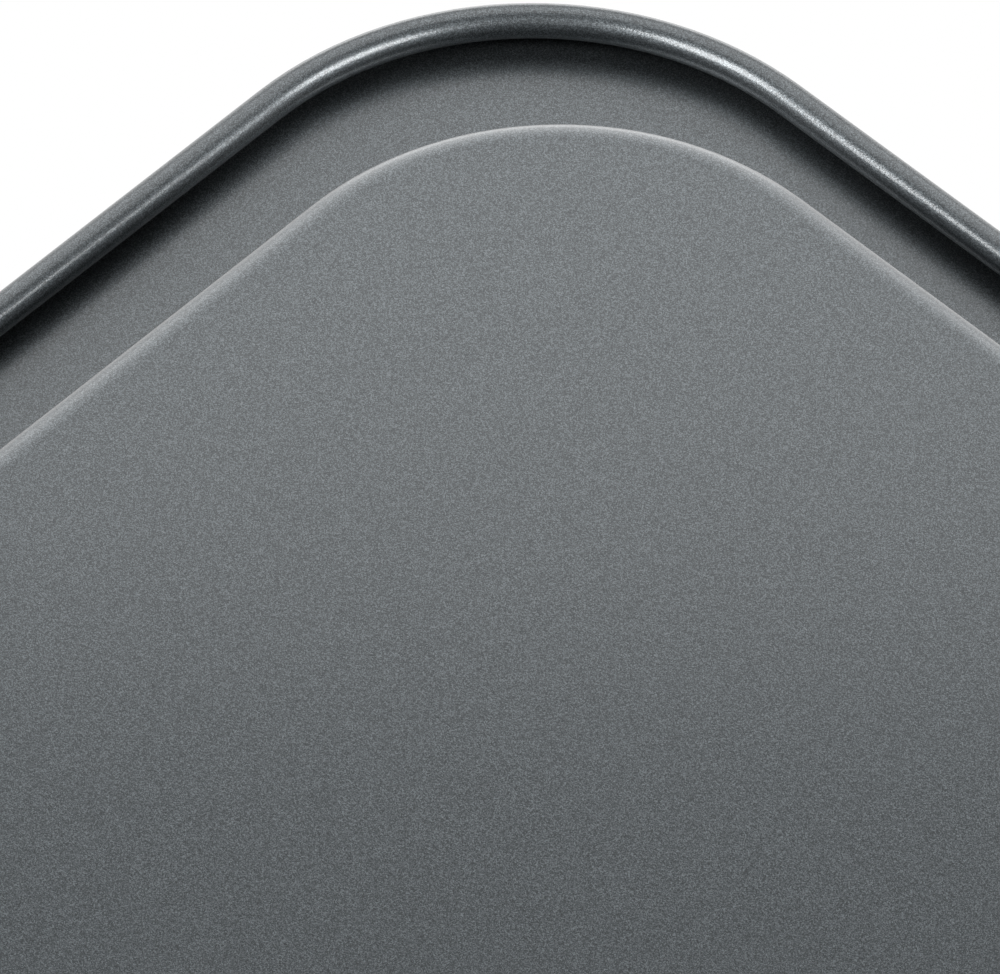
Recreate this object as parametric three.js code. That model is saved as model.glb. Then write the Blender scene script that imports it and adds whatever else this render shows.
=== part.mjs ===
// Rectangular baking dish: a pressed steel pan whose turned-down edge is rolled around a wire.
// The dish stands on its base, opening upwards, with the origin under the middle of the base.
// Units are millimetres: +X runs along the length, +Y across the width and +Z up.
import * as THREE from 'three';

// Base, measured where the planes of the base and the walls would meet outside
const BASE_LENGTH = 287;
const BASE_WIDTH = 197;
const BASE_CORNER_RADIUS = 48;

// Walls and lip, measured on the underside of the sheet
const LIP_HEIGHT = 39;
const WALL_DRAFT_DEGREES = 20;
const END_LIP_WIDTH = 26.2;
const SIDE_LIP_WIDTH = 22;
const LIP_CORNER_RADIUS = 55.9;

// Sheet steel and the bends pressed into it, each on the underside of the sheet
const SHEET_THICKNESS = 0.8;
const BASE_BEND_RADIUS = 5.3;
const LIP_BEND_RADIUS = 3;
const EDGE_BEND_RADIUS = 1.2;

// Rolled edge and the wire inside it
const WIRE_DIAMETER = 3.4;
const WIRE_CLEARANCE = 0.1;
const WIRE_END_GAP = 1;
const ROLL_TO_LIP_GAP = 1.5;
const CUT_EDGE_GAP = 0.3;

// Facets along each curve
const CORNER_STEPS = 12;
const BASE_BEND_STEPS = 5;
const LIP_BEND_STEPS = 4;
const EDGE_BEND_STEPS = 3;
const ROLL_STEPS = 16;
const WIRE_SIDES = 12;

// The wall leans out by the draft, and each bend takes up a tangent length on both its legs
const draft = THREE.MathUtils.degToRad(WALL_DRAFT_DEGREES);
const wallRun = LIP_HEIGHT * Math.tan(draft);
const tangentPerRadius = Math.tan((Math.PI / 2 - draft) / 2);

// The roll lies inside the turned-down edge, and its cut edge stops just short of that edge
const wireRadius = WIRE_DIAMETER / 2;
const rollInnerRadius = wireRadius + WIRE_CLEARANCE;
const rollRadius = rollInnerRadius + SHEET_THICKNESS;
const rollHeight = LIP_HEIGHT - ROLL_TO_LIP_GAP - rollRadius;
const cutEdgeAngle = Math.acos((rollInnerRadius - CUT_EDGE_GAP) / rollRadius);
const rollLength = BASE_LENGTH + 2 * (wallRun + END_LIP_WIDTH - rollRadius);
const rollWidth = BASE_WIDTH + 2 * (wallRun + SIDE_LIP_WIDTH - rollRadius);
const rollCornerRadius = LIP_CORNER_RADIUS - rollRadius;

// A rounded rectangle at one height, counterclockwise from the corner at +X -Y
function roundedRectangle(length, width, cornerRadius, height) {
  const points = [];
  const corners = [[1, -1], [1, 1], [-1, 1], [-1, -1]];
  corners.forEach(([sideX, sideY], corner) => {
    const centreX = sideX * (length / 2 - cornerRadius);
    const centreY = sideY * (width / 2 - cornerRadius);
    for (let step = 0; step <= CORNER_STEPS; step += 1) {
      const angle = (Math.PI / 2) * (corner - 1 + step / CORNER_STEPS);
      const x = centreX + cornerRadius * Math.cos(angle);
      const y = centreY + cornerRadius * Math.sin(angle);
      points.push(new THREE.Vector3(x, y, height));
    }
  });
  return points;
}

// Outline of the base and walls, moved outwards by an offset
function wallOutline(offset, height) {
  const length = BASE_LENGTH + 2 * offset;
  const width = BASE_WIDTH + 2 * offset;
  return roundedRectangle(length, width, BASE_CORNER_RADIUS + offset, height);
}

// Outline of the roll's centre line, moved outwards by an offset
function rollOutline(offset, height) {
  const length = rollLength + 2 * offset;
  const width = rollWidth + 2 * offset;
  return roundedRectangle(length, width, rollCornerRadius + offset, height);
}

// Closed solid through a row of rings that have equally many points, with a fan over each end
function skinRings(rings) {
  const ringSize = rings[0].length;
  const points = rings.flat();
  const triangles = [];
  for (let ring = 0; ring + 1 < rings.length; ring += 1) {
    for (let index = 0; index < ringSize; index += 1) {
      const next = (index + 1) % ringSize;
      const near = ring * ringSize;
      const far = near + ringSize;
      triangles.push(near + index, far + index, far + next);
      triangles.push(near + index, far + next, near + next);
    }
  }
  const addFan = (ring, turned) => {
    const middle = new THREE.Vector3();
    ring.forEach((point) => middle.addScaledVector(point, 1 / ringSize));
    const first = points.indexOf(ring[0]);
    const centre = points.push(middle) - 1;
    for (let index = 0; index < ringSize; index += 1) {
      const here = first + index;
      const next = first + (index + 1) % ringSize;
      triangles.push(centre, turned ? next : here, turned ? here : next);
    }
  };
  addFan(rings[0], false);
  addFan(rings[rings.length - 1], true);
  const geometry = new THREE.BufferGeometry().setFromPoints(points);
  geometry.setIndex(triangles);
  geometry.computeVertexNormals();
  return geometry;
}

// One bend of the sheet: rings on its dish side and its underside, about a common centre
function bendRings({ outline, centreOffset, centreHeight, from, to, dishRadius, underRadius, steps }) {
  const dishSide = [];
  const underside = [];
  for (let step = 0; step <= steps; step += 1) {
    const angle = THREE.MathUtils.lerp(from, to, step / steps);
    const across = Math.cos(angle);
    const rise = Math.sin(angle);
    dishSide.push(outline(centreOffset + dishRadius * across, centreHeight + dishRadius * rise));
    underside.push(outline(centreOffset + underRadius * across, centreHeight + underRadius * rise));
  }
  return { dishSide, underside };
}

// The pan is flat or straight between four bends, from the base out to the cut edge of the sheet
function panBody() {
  const baseBend = {
    outline: wallOutline,
    centreOffset: -BASE_BEND_RADIUS * tangentPerRadius,
    centreHeight: BASE_BEND_RADIUS,
    from: -Math.PI / 2,
    to: -draft,
    dishRadius: BASE_BEND_RADIUS - SHEET_THICKNESS,
    underRadius: BASE_BEND_RADIUS,
    steps: BASE_BEND_STEPS,
  };
  const lipBend = {
    outline: wallOutline,
    centreOffset: wallRun + LIP_BEND_RADIUS * tangentPerRadius,
    centreHeight: LIP_HEIGHT - LIP_BEND_RADIUS,
    from: Math.PI - draft,
    to: Math.PI / 2,
    dishRadius: LIP_BEND_RADIUS + SHEET_THICKNESS,
    underRadius: LIP_BEND_RADIUS,
    steps: LIP_BEND_STEPS,
  };
  const edgeBend = {
    outline: rollOutline,
    centreOffset: rollInnerRadius - EDGE_BEND_RADIUS,
    centreHeight: LIP_HEIGHT - EDGE_BEND_RADIUS,
    from: Math.PI / 2,
    to: 0,
    dishRadius: EDGE_BEND_RADIUS + SHEET_THICKNESS,
    underRadius: EDGE_BEND_RADIUS,
    steps: EDGE_BEND_STEPS,
  };
  const roll = {
    outline: rollOutline,
    centreOffset: 0,
    centreHeight: rollHeight,
    from: 0,
    to: cutEdgeAngle - 2 * Math.PI,
    dishRadius: rollRadius,
    underRadius: rollInnerRadius,
    steps: ROLL_STEPS,
  };
  const bends = [baseBend, lipBend, edgeBend, roll].map(bendRings);
  const dishSide = bends.flatMap((bend) => bend.dishSide);
  const underside = bends.flatMap((bend) => bend.underside);
  return skinRings([...dishSide, ...underside.reverse()]);
}

// The wire runs once around inside the roll, from one end of its gap on the -Y side to the other
function rimWire() {
  const startSection = [];
  const endSection = [];
  const rings = [];
  for (let side = 0; side < WIRE_SIDES; side += 1) {
    const angle = (2 * Math.PI * side) / WIRE_SIDES;
    const offset = wireRadius * Math.cos(angle);
    const height = rollHeight + wireRadius * Math.sin(angle);
    const endY = -rollWidth / 2 - offset;
    startSection.push(new THREE.Vector3(WIRE_END_GAP / 2, endY, height));
    endSection.push(new THREE.Vector3(-WIRE_END_GAP / 2, endY, height));
    rings.push(rollOutline(offset, height));
  }
  const cornerSections = rings[0].map((_, index) => rings.map((ring) => ring[index]));
  return skinRings([startSection, ...cornerSections, endSection]);
}

const coatedSteel = new THREE.MeshStandardMaterial({ color: 0x54585b, roughness: 0.35, metalness: 0.6 });
const steelWire = new THREE.MeshStandardMaterial({ color: 0x9ca0a3, roughness: 0.4, metalness: 1 });

const dish = new THREE.Group();

const pan = new THREE.Mesh(panBody(), coatedSteel);
pan.name = 'pan_body';
dish.add(pan);

const wire = new THREE.Mesh(rimWire(), steelWire);
wire.name = 'rim_wire';
dish.add(wire);

export default dish;
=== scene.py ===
"""Rectangular baking dish: a coated steel pan with a wide flat lip and an edge rolled around a wire.

The dish stands on its base. The camera looks up at its underside from below one corner, and is
held upside down, because the photograph shows the dish turned over.
"""

import math

import bmesh
import bpy
from bpy.props import FloatProperty, FloatVectorProperty, IntProperty, PointerProperty
from mathutils import Matrix, Quaternion, Vector


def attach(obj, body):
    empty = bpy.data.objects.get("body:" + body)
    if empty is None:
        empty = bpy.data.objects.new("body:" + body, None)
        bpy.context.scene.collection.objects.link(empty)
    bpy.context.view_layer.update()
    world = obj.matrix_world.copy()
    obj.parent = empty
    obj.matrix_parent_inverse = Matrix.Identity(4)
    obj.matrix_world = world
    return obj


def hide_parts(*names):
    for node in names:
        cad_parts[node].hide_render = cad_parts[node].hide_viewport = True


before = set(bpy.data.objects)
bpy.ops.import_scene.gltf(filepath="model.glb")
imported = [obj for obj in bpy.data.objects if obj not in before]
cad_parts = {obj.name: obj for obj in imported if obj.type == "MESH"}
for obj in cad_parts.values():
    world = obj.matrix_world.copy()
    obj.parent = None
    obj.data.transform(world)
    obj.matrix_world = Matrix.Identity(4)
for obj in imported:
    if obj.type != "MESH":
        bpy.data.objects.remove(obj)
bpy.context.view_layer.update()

bl_info = {
    "name": "Rectangular Baking Dish",
    "version": (1, 0, 0),
    "blender": (4, 5, 0),
    "location": "View3D > Sidebar > Baking Dish",
    "description": "Builds a pressed steel baking dish with a wired edge, and a studio stage for it",
    "category": "Object",
}


def length(name, description, millimetres):
    """A length that is shown in the scene's own units."""
    return FloatProperty(
        name=name,
        description=description,
        default=millimetres / 1000,
        min=0.0,
        precision=5,
        unit="LENGTH",
    )


def colour(name, description, default):
    """A linear colour."""
    return FloatVectorProperty(
        name=name, description=description, default=default, size=3, min=0.0, max=1.0, subtype="COLOR"
    )


class DishShape(bpy.types.PropertyGroup):
    """Sizes of the pressed sheet and of its wired edge."""

    base_length: length("Base length", "Outside, where the planes of base and end walls meet", 287)
    base_width: length("Base width", "Outside, where the planes of base and side walls meet", 197)
    base_corner_radius: length("Base corner", "Corner radius of the base in plan", 48)
    lip_height: length("Lip height", "From the table to the underside of the lip", 39)
    wall_draft: FloatProperty(
        name="Wall draft",
        description="How far the walls lean out",
        default=math.radians(20),
        min=0.0,
        subtype="ANGLE",
    )
    end_lip_width: length("End lip", "From the wall to the outside of the rolled edge, at an end", 26.2)
    side_lip_width: length("Side lip", "From the wall to the outside of the rolled edge, at a side", 22)
    lip_corner_radius: length("Lip corner", "Corner radius of the lip in plan", 55.9)
    sheet_thickness: length("Sheet", "Thickness of the sheet steel", 0.8)
    base_bend_radius: length("Base bend", "Bend from base to wall, on the underside", 5.3)
    lip_bend_radius: length("Lip bend", "Bend from wall to lip, on the underside", 3)
    edge_bend_radius: length("Edge bend", "Bend from lip to turned-down edge, on the underside", 1.2)
    wire_diameter: length("Wire", "Diameter of the wire in the rolled edge", 3.4)
    wire_clearance: length("Wire clearance", "Gap between the wire and the roll around it", 0.1)
    wire_end_gap: length("Wire end gap", "Gap between the two ends of the wire", 1)
    roll_to_lip_gap: length("Roll to lip", "From the top of the roll to the underside of the lip", 1.5)
    cut_edge_gap: length("Cut edge gap", "From the sheet's cut edge to the turned-down edge", 0.3)
    corner_steps: IntProperty(
        name="Corner steps", description="Facets around each corner in plan", default=32, min=4
    )
    bend_steps: IntProperty(
        name="Bend steps", description="Facets around each bend of the sheet", default=10, min=3
    )
    roll_steps: IntProperty(
        name="Roll steps", description="Facets around the roll and around the wire", default=40, min=8
    )

    @property
    def wall_run(self):
        """How far the wall leans out over its height."""
        return self.lip_height * math.tan(self.wall_draft)

    @property
    def tangent_per_radius(self):
        """What a bend between the wall and a level face takes up on each leg, for its radius."""
        return math.tan((math.pi / 2 - self.wall_draft) / 2)

    @property
    def flat_edge(self):
        """Where the flat of the base ends, from the line on which base and wall would meet."""
        return -self.base_bend_radius * self.tangent_per_radius

    @property
    def roll_inner_radius(self):
        """Inside of the roll."""
        return self.wire_diameter / 2 + self.wire_clearance

    @property
    def roll_radius(self):
        """Outside of the roll."""
        return self.roll_inner_radius + self.sheet_thickness

    @property
    def roll_height(self):
        """Height of the roll's centre line."""
        return self.lip_height - self.roll_to_lip_gap - self.roll_radius

    @property
    def cut_edge_angle(self):
        """Where the roll stops short of the turned-down edge."""
        return math.acos((self.roll_inner_radius - self.cut_edge_gap) / self.roll_radius)

    def wall_outline(self, offset):
        """Length, width and corner radius around the base and walls, moved out by an offset."""
        return (
            self.base_length + 2 * offset,
            self.base_width + 2 * offset,
            self.base_corner_radius + offset,
        )

    def roll_outline(self, offset):
        """Length, width and corner radius around the roll's centre line, moved out by an offset."""
        inset = self.wall_run - self.roll_radius + offset
        return (
            self.base_length + 2 * (inset + self.end_lip_width),
            self.base_width + 2 * (inset + self.side_lip_width),
            self.lip_corner_radius - self.roll_radius + offset,
        )


class DishFinish(bpy.types.PropertyGroup):
    """Colours and grain of the coating and of the wire."""

    coating_dark: colour("Dark grain", "The coating between its metal flakes", (0.049, 0.055, 0.059))
    coating_light: colour("Light grain", "The brightest of its metal flakes", (0.175, 0.197, 0.210))
    grain_size: length("Grain size", "Size of one flake in the coating", 0.13)
    bright_rarity: FloatProperty(
        name="Bright rarity", description="Higher leaves fewer bright flakes", default=2, min=0.0
    )
    flake_roughness: FloatProperty(
        name="Flake roughness", description="Under the film", default=0.44, min=0.0, max=1.0
    )
    film_roughness: FloatProperty(
        name="Film roughness", description="Of the clear film on top", default=0.2, min=0.0, max=1.0
    )
    unevenness: length("Unevenness", "Depth of the fine unevenness of the film", 0.05)
    wire_colour: colour("Wire colour", "Drawn steel wire", (0.55, 0.56, 0.57))


class DishStage(bpy.types.PropertyGroup):
    """Camera and light levels."""

    camera_aim: FloatVectorProperty(
        name="Camera aim",
        description="Point in the middle of the picture",
        default=(0.11271, 0.05599, 0.04378),
        size=3,
        subtype="TRANSLATION",
        unit="LENGTH",
    )
    camera_distance: length("Camera distance", "From the camera to the point that it is aimed at", 2000)
    camera_lens: FloatProperty(
        name="Lens", description="Focal length", default=504, min=1, subtype="DISTANCE_CAMERA"
    )
    camera_turn: FloatProperty(
        name="Camera turn",
        description="Direction that the camera faces, from +Y towards +X",
        default=math.radians(43.837),
        subtype="ANGLE",
    )
    camera_rise: FloatProperty(
        name="Camera rise",
        description="How steeply the camera looks up",
        default=math.radians(51.087),
        subtype="ANGLE",
    )
    camera_roll: FloatProperty(
        name="Camera roll",
        description="Half a turn holds the camera upside down",
        default=math.radians(180.311),
        subtype="ANGLE",
    )
    floor_colour: colour("Floor colour", "Plain pale floor", (0.86, 0.86, 0.86))
    room_light: FloatProperty(
        name="Room light", description="How much the room lights dull surfaces", default=0.35, min=0.0
    )
    dimmest: FloatProperty(
        name="Dimmest", description="The room below the dish, where 1 is white", default=0.13, min=0.0
    )

    @property
    def camera_heading(self):
        """Level direction that the camera faces."""
        return Vector((math.sin(self.camera_turn), math.cos(self.camera_turn), 0))


def rounded_panel(bm, outline, height, steps):
    """One level face with its four corners rounded. Returns the edges around it."""
    panel_length, panel_width, corner_radius = outline
    place = Matrix.Translation((0, 0, height)) @ Matrix.Diagonal((panel_length, panel_width, 1, 1))
    made = bmesh.ops.create_grid(bm, x_segments=1, y_segments=1, size=0.5, matrix=place)
    bmesh.ops.bevel(
        bm,
        geom=made["verts"],
        offset=corner_radius,
        offset_type="OFFSET",
        segments=steps,
        profile=0.5,
        affect="VERTICES",
        material=-1,
    )
    return bm.edges[:]


def extrude_ring(bm, ring):
    """Extrudes a ring of edges where it is. Returns the new vertices and the new ring."""
    made = bmesh.ops.extrude_edge_only(bm, edges=ring)["geom"]
    verts = {item for item in made if isinstance(item, bmesh.types.BMVert)}
    edges = (item for item in made if isinstance(item, bmesh.types.BMEdge))
    return verts, [edge for edge in edges if verts.issuperset(edge.verts)]


def extrude_to_outline(bm, ring, old, new, height):
    """Extrudes a ring and moves it from one rounded rectangle to the next. Returns the new ring."""
    verts, new_ring = extrude_ring(bm, ring)
    old_length, old_width, old_radius = old
    new_length, new_width, new_radius = new
    for vert in verts:
        side_x = math.copysign(1, vert.co.x)
        side_y = math.copysign(1, vert.co.y)
        across_x = (vert.co.x - side_x * (old_length / 2 - old_radius)) / old_radius
        across_y = (vert.co.y - side_y * (old_width / 2 - old_radius)) / old_radius
        vert.co.x = side_x * (new_length / 2 - new_radius) + across_x * new_radius
        vert.co.y = side_y * (new_width / 2 - new_radius) + across_y * new_radius
        vert.co.z = height
    return new_ring


def bend_stations(outline, centre, start, end, radius, steps):
    """Outline and height of each ring along one bend, from one angle around its centre to another."""
    centre_offset, centre_height = centre
    stations = []
    for step in range(steps + 1):
        angle = start + (end - start) * step / steps
        offset = centre_offset + radius * math.cos(angle)
        height = centre_height + radius * math.sin(angle)
        stations.append((outline(offset), height))
    return stations


def sheet_stations(shape, thickness):
    """Rings from the base out to the cut edge, on the side of the sheet that far from the underside."""
    draft = shape.wall_draft
    tangent = shape.tangent_per_radius
    base_bend = bend_stations(
        shape.wall_outline,
        (shape.flat_edge, shape.base_bend_radius),
        -math.pi / 2,
        -draft,
        shape.base_bend_radius - thickness,
        shape.bend_steps,
    )
    lip_bend = bend_stations(
        shape.wall_outline,
        (shape.wall_run + shape.lip_bend_radius * tangent, shape.lip_height - shape.lip_bend_radius),
        math.pi - draft,
        math.pi / 2,
        shape.lip_bend_radius + thickness,
        shape.bend_steps,
    )
    edge_bend = bend_stations(
        shape.roll_outline,
        (
            shape.roll_inner_radius - shape.edge_bend_radius,
            shape.lip_height - shape.edge_bend_radius,
        ),
        math.pi / 2,
        0,
        shape.edge_bend_radius + thickness,
        shape.bend_steps,
    )
    roll = bend_stations(
        shape.roll_outline,
        (0, shape.roll_height),
        0,
        shape.cut_edge_angle - 2 * math.pi,
        shape.roll_inner_radius + thickness,
        shape.roll_steps,
    )
    return base_bend + lip_bend + edge_bend + roll


def finished_piece(bm, name, node, material):
    """Turns a bmesh into a smooth piece that stands for a node of the frame."""
    bmesh.ops.recalc_face_normals(bm, faces=bm.faces[:])
    for face in bm.faces:
        face.smooth = True
    mesh = bpy.data.meshes.new(name)
    bm.to_mesh(mesh)
    bm.free()
    mesh.set_sharp_from_angle(angle=math.radians(40))
    mesh.materials.append(material)
    piece = bpy.data.objects.new(name, mesh)
    bpy.context.scene.collection.objects.link(piece)
    level_faces = piece.modifiers.new("Level faces stay level", "WEIGHTED_NORMAL")
    level_faces.mode = "FACE_AREA"
    level_faces.weight = 100
    level_faces.keep_sharp = True
    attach(piece, "root")
    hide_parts(node)


def new_material(name):
    """A material with its Principled BSDF. Returns the material, its node tree and that shader."""
    material = bpy.data.materials.new(name)
    material.use_nodes = True
    tree = material.node_tree
    return material, tree, tree.nodes["Principled BSDF"]


def coating_material(finish):
    """Dark grey non-stick coating: metal flakes under a clear satin film, slightly uneven to the touch."""
    material, tree, shader = new_material("nonstick_coating")
    nodes = tree.nodes
    links = tree.links
    place = nodes.new("ShaderNodeTexCoord")

    flakes = nodes.new("ShaderNodeTexVoronoi")
    flakes.inputs["Scale"].default_value = 1 / finish.grain_size
    links.new(place.outputs["Object"], flakes.inputs["Vector"])
    chance = nodes.new("ShaderNodeSeparateColor")
    links.new(flakes.outputs["Color"], chance.inputs["Color"])
    few_bright = nodes.new("ShaderNodeMath")
    few_bright.operation = "POWER"
    few_bright.inputs[1].default_value = finish.bright_rarity
    links.new(chance.outputs["Red"], few_bright.inputs[0])
    flake_tone = nodes.new("ShaderNodeMix")
    flake_tone.data_type = "RGBA"
    flake_tone.inputs["A"].default_value = (*finish.coating_dark, 1)
    flake_tone.inputs["B"].default_value = (*finish.coating_light, 1)
    links.new(few_bright.outputs["Value"], flake_tone.inputs["Factor"])
    links.new(flake_tone.outputs["Result"], shader.inputs["Base Color"])

    peel_per_grain = 0.4
    peel = nodes.new("ShaderNodeTexNoise")
    peel.inputs["Scale"].default_value = peel_per_grain / finish.grain_size
    peel.inputs["Detail"].default_value = 1
    links.new(place.outputs["Object"], peel.inputs["Vector"])
    bump = nodes.new("ShaderNodeBump")
    bump.inputs["Strength"].default_value = 0.4
    bump.inputs["Distance"].default_value = finish.unevenness
    links.new(peel.outputs["Fac"], bump.inputs["Height"])
    links.new(bump.outputs["Normal"], shader.inputs["Normal"])
    links.new(bump.outputs["Normal"], shader.inputs["Coat Normal"])

    shader.inputs["Metallic"].default_value = 0.95
    shader.inputs["Roughness"].default_value = finish.flake_roughness
    shader.inputs["Coat Weight"].default_value = 1
    shader.inputs["Coat Roughness"].default_value = finish.film_roughness
    return material


def wire_material(finish):
    """Plain drawn steel wire."""
    material, tree, shader = new_material("wire_steel")
    place = tree.nodes.new("ShaderNodeTexCoord")
    scratches = tree.nodes.new("ShaderNodeTexNoise")
    scratches.inputs["Scale"].default_value = 900
    tree.links.new(place.outputs["Object"], scratches.inputs["Vector"])
    gloss = tree.nodes.new("ShaderNodeMapRange")
    gloss.inputs["To Min"].default_value = 0.3
    gloss.inputs["To Max"].default_value = 0.5
    tree.links.new(scratches.outputs["Fac"], gloss.inputs["Value"])
    tree.links.new(gloss.outputs["Result"], shader.inputs["Roughness"])
    shader.inputs["Base Color"].default_value = (*finish.wire_colour, 1)
    shader.inputs["Metallic"].default_value = 1
    return material


class BAKING_DISH_OT_pan_body(bpy.types.Operator):
    """Press the pan from one sheet and roll its edge"""

    bl_idname = "baking_dish.pan_body"
    bl_label = "Pan Body"

    def execute(self, context):
        shape = context.scene.dish_shape
        dish_side = sheet_stations(shape, shape.sheet_thickness)
        underside = sheet_stations(shape, 0)
        stations = dish_side + underside[::-1]
        bm = bmesh.new()
        ring = rounded_panel(bm, *stations[0], shape.corner_steps)
        for (old, _), (new, height) in zip(stations, stations[1:]):
            ring = extrude_to_outline(bm, ring, old, new, height)
        bmesh.ops.contextual_create(bm, geom=ring)
        coating = coating_material(context.scene.dish_finish)
        finished_piece(bm, "coated_pan", "pan_body", coating)
        return {"FINISHED"}


class BAKING_DISH_OT_rim_wire(bpy.types.Operator):
    """Run the stiffening wire once around inside the rolled edge"""

    bl_idname = "baking_dish.rim_wire"
    bl_label = "Rim Wire"

    def execute(self, context):
        shape = context.scene.dish_shape
        wire_length, wire_width, corner_radius = shape.roll_outline(0)
        half_gap = shape.wire_end_gap / 2
        end_leg = wire_length / 2 - corner_radius - half_gap
        long_leg = wire_length - 2 * corner_radius
        short_leg = wire_width - 2 * corner_radius
        bm = bmesh.new()
        start = Vector((half_gap, -wire_width / 2, shape.roll_height))
        upright = Matrix.Translation(start) @ Matrix.Rotation(math.pi / 2, 4, "Y")
        bmesh.ops.create_circle(
            bm, segments=shape.roll_steps, radius=shape.wire_diameter / 2, matrix=upright
        )
        ring = bm.edges[:]
        bmesh.ops.contextual_create(bm, geom=ring)
        heading = Vector((1, 0, 0))
        point = start
        quarter = Matrix.Rotation(math.pi / 2, 3, "Z")
        for leg in (end_leg, short_leg, long_leg, short_leg):
            ring = self.extrude_leg(bm, ring, heading * leg)
            point = point + heading * leg
            centre = point + quarter @ heading * corner_radius
            spun = bmesh.ops.spin(
                bm,
                geom=ring,
                cent=centre,
                axis=(0, 0, 1),
                angle=math.pi / 2,
                steps=shape.corner_steps,
                use_merge=False,
            )["geom_last"]
            ring = [item for item in spun if isinstance(item, bmesh.types.BMEdge)]
            point = centre + heading * corner_radius
            heading = quarter @ heading
        ring = self.extrude_leg(bm, ring, heading * end_leg)
        bmesh.ops.contextual_create(bm, geom=ring)
        wire = wire_material(context.scene.dish_finish)
        finished_piece(bm, "drawn_wire", "rim_wire", wire)
        return {"FINISHED"}

    @staticmethod
    def extrude_leg(bm, ring, step):
        """Draws the wire out straight. Returns the edges around its new end."""
        verts, new_ring = extrude_ring(bm, ring)
        bmesh.ops.translate(bm, verts=list(verts), vec=step)
        return new_ring


def add_soft_box(name, place, aim, size, power):
    """A rectangular lamp, turned towards a point and not seen by the camera."""
    lamp = bpy.data.lights.new(name, "AREA")
    lamp.shape = "RECTANGLE"
    lamp.size, lamp.size_y = size
    lamp.energy = power
    soft_box = bpy.data.objects.new(name, lamp)
    soft_box.location = place
    soft_box.rotation_euler = (Vector(place) - Vector(aim)).to_track_quat("Z", "Y").to_euler()
    soft_box.visible_camera = False
    bpy.context.scene.collection.objects.link(soft_box)
    return soft_box


def ground_around_foot(shape, foot_offset, height):
    """A wide level sheet with a hole for the dish's foot, whose outline is moved out by an offset."""
    foot = shape.wall_outline(foot_offset)
    wide_length = 8
    wide_corner_radius = 3
    wide = (wide_length, wide_length, wide_corner_radius)
    bm = bmesh.new()
    ring = rounded_panel(bm, foot, height, shape.corner_steps)
    hole = bm.faces[:]
    extrude_to_outline(bm, ring, foot, wide, height)
    bmesh.ops.delete(bm, geom=hole, context="FACES_ONLY")
    return bm


def stage_sheet(bm, name):
    """Turns a bmesh into an object for the stage that isn't mirrored in the dish."""
    mesh = bpy.data.meshes.new(name)
    bm.to_mesh(mesh)
    bm.free()
    sheet = bpy.data.objects.new(name, mesh)
    sheet.visible_diffuse = False
    sheet.visible_glossy = False
    sheet.visible_transmission = False
    bpy.context.scene.collection.objects.link(sheet)
    return sheet


def add_shade(name, shape, foot_offset, limits):
    """A card just under the floor that stops light and isn't seen.

    It has a hole for the dish's foot, and ends at each limit, given as a point and a direction.
    """
    floor_to_shade = 0.0003
    bm = ground_around_foot(shape, foot_offset, -floor_to_shade)
    for point, direction in limits:
        card = bm.verts[:] + bm.edges[:] + bm.faces[:]
        bmesh.ops.bisect_plane(bm, geom=card, plane_co=point, plane_no=direction, clear_outer=True)
    shade = stage_sheet(bm, name)
    shade.visible_camera = False
    return shade


def let_past(soft_box, shades):
    """Lets the light of one soft box through some of the shades."""
    passed = bpy.data.collections.new(soft_box.name + "_passes")
    for shade in shades:
        passed.objects.link(shade)
    for entry in passed.collection_objects:
        entry.light_linking.link_state = "EXCLUDE"
    soft_box.light_linking.blocker_collection = passed


def add_camera(stage):
    """Long lens, looking up at one corner of the base."""
    camera = bpy.data.cameras.new("camera")
    camera.sensor_width = 36
    camera.lens = stage.camera_lens
    holder = bpy.data.objects.new("camera", camera)
    rise = Vector((0, 0, math.sin(stage.camera_rise)))
    looks = stage.camera_heading * math.cos(stage.camera_rise) + rise
    roll = Quaternion((0, 0, 1), stage.camera_roll)
    holder.rotation_mode = "QUATERNION"
    holder.rotation_quaternion = (-looks).to_track_quat("Z", "Y") @ roll
    holder.location = Vector(stage.camera_aim) - looks * stage.camera_distance
    bpy.context.scene.collection.objects.link(holder)
    bpy.context.scene.camera = holder


def add_floor(stage, shape):
    """A pale floor that runs up to the flat of the base, which is level with it.

    It has a top only, so it doesn't hide the dish from below.
    """
    material, tree, shader = new_material("pale_floor")
    shader.inputs["Base Color"].default_value = (*stage.floor_colour, 1)
    shader.inputs["Roughness"].default_value = 1
    side = tree.nodes.new("ShaderNodeNewGeometry")
    clear = tree.nodes.new("ShaderNodeBsdfTransparent")
    one_sided = tree.nodes.new("ShaderNodeMixShader")
    tree.links.new(side.outputs["Backfacing"], one_sided.inputs["Fac"])
    tree.links.new(shader.outputs["BSDF"], one_sided.inputs[1])
    tree.links.new(clear.outputs["BSDF"], one_sided.inputs[2])
    tree.links.new(one_sided.outputs["Shader"], tree.nodes["Material Output"].inputs["Surface"])
    floor = stage_sheet(ground_around_foot(shape, shape.flat_edge, 0), "studio_floor")
    floor.data.materials.append(material)
    floor.visible_shadow = False


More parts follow.
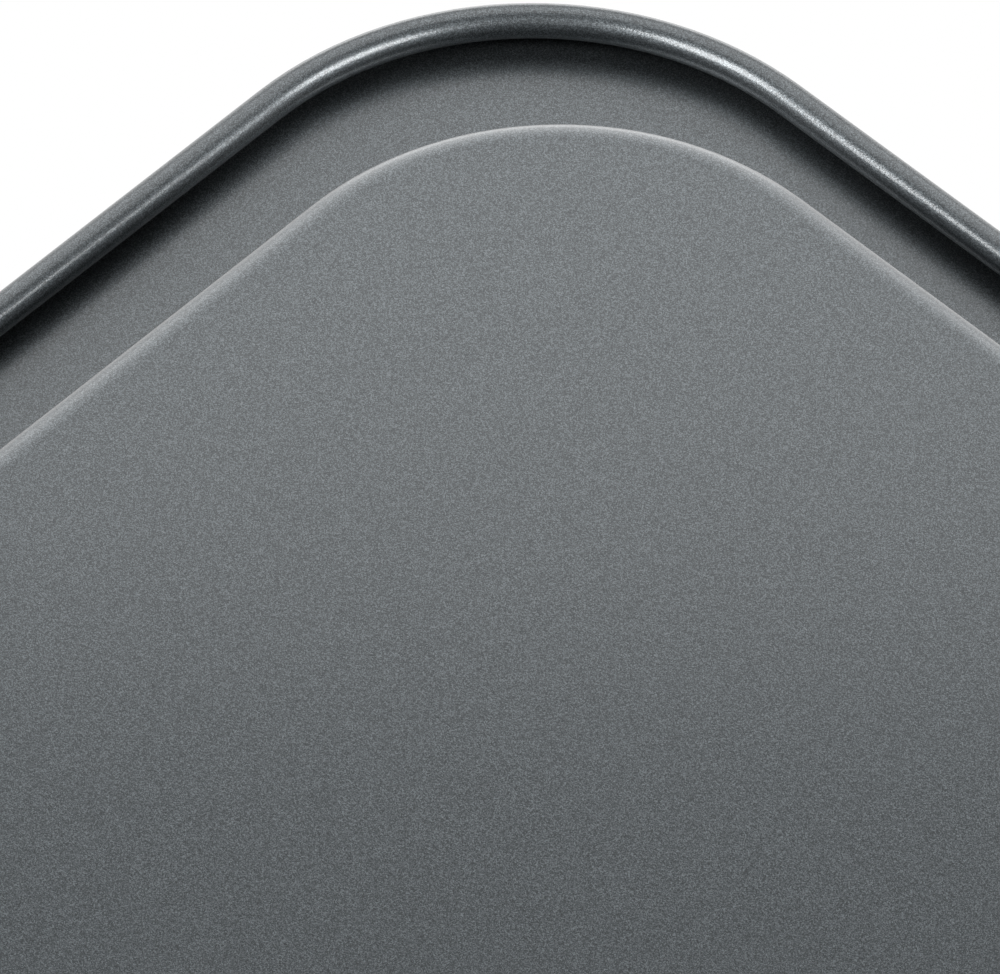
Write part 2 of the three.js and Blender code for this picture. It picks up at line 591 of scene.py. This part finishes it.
def set_world(stage):
    """A room that the camera and the metal see as white, but dimmer from below the dish."""
    world = bpy.data.worlds.new("studio")
    bpy.context.scene.world = world
    world.use_nodes = True
    nodes = world.node_tree.nodes
    links = world.node_tree.links
    direction = nodes.new("ShaderNodeTexCoord")
    upwards = nodes.new("ShaderNodeSeparateXYZ")
    links.new(direction.outputs["Generated"], upwards.inputs["Vector"])
    room = nodes.new("ShaderNodeMapRange")
    room.inputs["From Min"].default_value = -1
    room.inputs["From Max"].default_value = 0.1
    room.inputs["To Min"].default_value = stage.dimmest
    room.inputs["To Max"].default_value = 1
    links.new(upwards.outputs["Z"], room.inputs["Value"])
    rays = nodes.new("ShaderNodeLightPath")
    sees_room = rays.outputs["Is Camera Ray"]
    for name in ("Is Glossy Ray", "Is Transmission Ray"):
        either = nodes.new("ShaderNodeMath")
        either.operation = "MAXIMUM"
        links.new(sees_room, either.inputs[0])
        links.new(rays.outputs[name], either.inputs[1])
        sees_room = either.outputs["Value"]
    strength = nodes.new("ShaderNodeMix")
    links.new(sees_room, strength.inputs["Factor"])
    strength.inputs["A"].default_value = stage.room_light
    links.new(room.outputs["Result"], strength.inputs["B"])
    links.new(strength.outputs["Result"], nodes["Background"].inputs["Strength"])
    nodes["Background"].inputs["Color"].default_value = (1, 1, 1, 1)


class BAKING_DISH_OT_stage(bpy.types.Operator):
    """Set up the camera, the floor, the white room, the soft boxes and their shades"""

    bl_idname = "baking_dish.stage"
    bl_label = "Stage"

    def execute(self, context):
        stage = context.scene.dish_stage
        context.scene.view_settings.view_transform = "Standard"
        add_camera(stage)
        add_floor(stage, context.scene.dish_shape)
        set_world(stage)
        corner = (0.145, 0.1, 0.02)
        back = add_soft_box(
            "back_soft_box",
            place=(0.21, 0.168, -0.138),
            aim=(0, -0.05, -0.138),
            size=(0.5, 0.27),
            power=0.55,
        )
        far = add_soft_box(
            "far_soft_box", place=(1.88, 1.9, 0.45), aim=corner, size=(1.6, 0.8), power=4.5
        )
        right = add_soft_box(
            "right_soft_box", place=(-0.644, 0.223, -0.582), aim=corner, size=(0.56, 0.5), power=9.7
        )
        left = add_soft_box(
            "left_soft_box", place=(0.321, -0.598, -0.675), aim=corner, size=(0.55, 0.55), power=10
        )
        top = add_soft_box(
            "top_soft_box", place=(-0.6, -0.8, 2.4), aim=(0, 0, 0), size=(2, 2), power=48
        )
        self.shade_walls(context.scene.dish_shape, stage, right, left, (back, far, top))
        return {"FINISHED"}

    @staticmethod
    def shade_walls(shape, stage, right, left, others):
        """Keeps two soft boxes under the floor from the walls, but not from the corner in the picture.

        The near shade stops both of them, the end shade the left one and the side shade the right one.
        """
        away = stage.camera_heading
        near_stop = away * 0.07
        end_stop = Vector((0, 0.07, 0))
        side_stop = Vector((0.115, 0, 0))
        wall_gap = 0.0002
        near_shade = add_shade("near_shade", shape, shape.flat_edge, [(near_stop, away)])
        end_limits = [(near_stop, -away), (end_stop, end_stop.normalized())]
        end_shade = add_shade("end_shade", shape, wall_gap, end_limits)
        side_limits = [(near_stop, -away), (side_stop, side_stop.normalized())]
        side_shade = add_shade("side_shade", shape, wall_gap, side_limits)
        let_past(right, [end_shade])
        let_past(left, [side_shade])
        for soft_box in others:
            let_past(soft_box, [near_shade, end_shade, side_shade])


class BAKING_DISH_PT_sidebar(bpy.types.Panel):
    """Sizes, finish and stage of the baking dish"""

    bl_label = "Baking Dish"
    bl_idname = "BAKING_DISH_PT_sidebar"
    bl_space_type = "VIEW_3D"
    bl_region_type = "UI"
    bl_category = "Baking Dish"

    def draw(self, context):
        scene = context.scene
        for group in (scene.dish_shape, scene.dish_finish, scene.dish_stage):
            column = self.layout.column(align=True)
            for name in group.__annotations__:
                column.prop(group, name)
        for operator in (BAKING_DISH_OT_pan_body, BAKING_DISH_OT_rim_wire, BAKING_DISH_OT_stage):
            self.layout.operator(operator.bl_idname)


CLASSES = (
    DishShape,
    DishFinish,
    DishStage,
    BAKING_DISH_OT_pan_body,
    BAKING_DISH_OT_rim_wire,
    BAKING_DISH_OT_stage,
    BAKING_DISH_PT_sidebar,
)


def register():
    for made in CLASSES:
        bpy.utils.register_class(made)
    bpy.types.Scene.dish_shape = PointerProperty(type=DishShape)
    bpy.types.Scene.dish_finish = PointerProperty(type=DishFinish)
    bpy.types.Scene.dish_stage = PointerProperty(type=DishStage)


def unregister():
    del bpy.types.Scene.dish_stage
    del bpy.types.Scene.dish_finish
    del bpy.types.Scene.dish_shape
    for made in reversed(CLASSES):
        bpy.utils.unregister_class(made)


def main():
    register()
    bpy.ops.baking_dish.pan_body()
    bpy.ops.baking_dish.rim_wire()
    bpy.ops.baking_dish.stage()


if __name__ == "__main__":
    main()
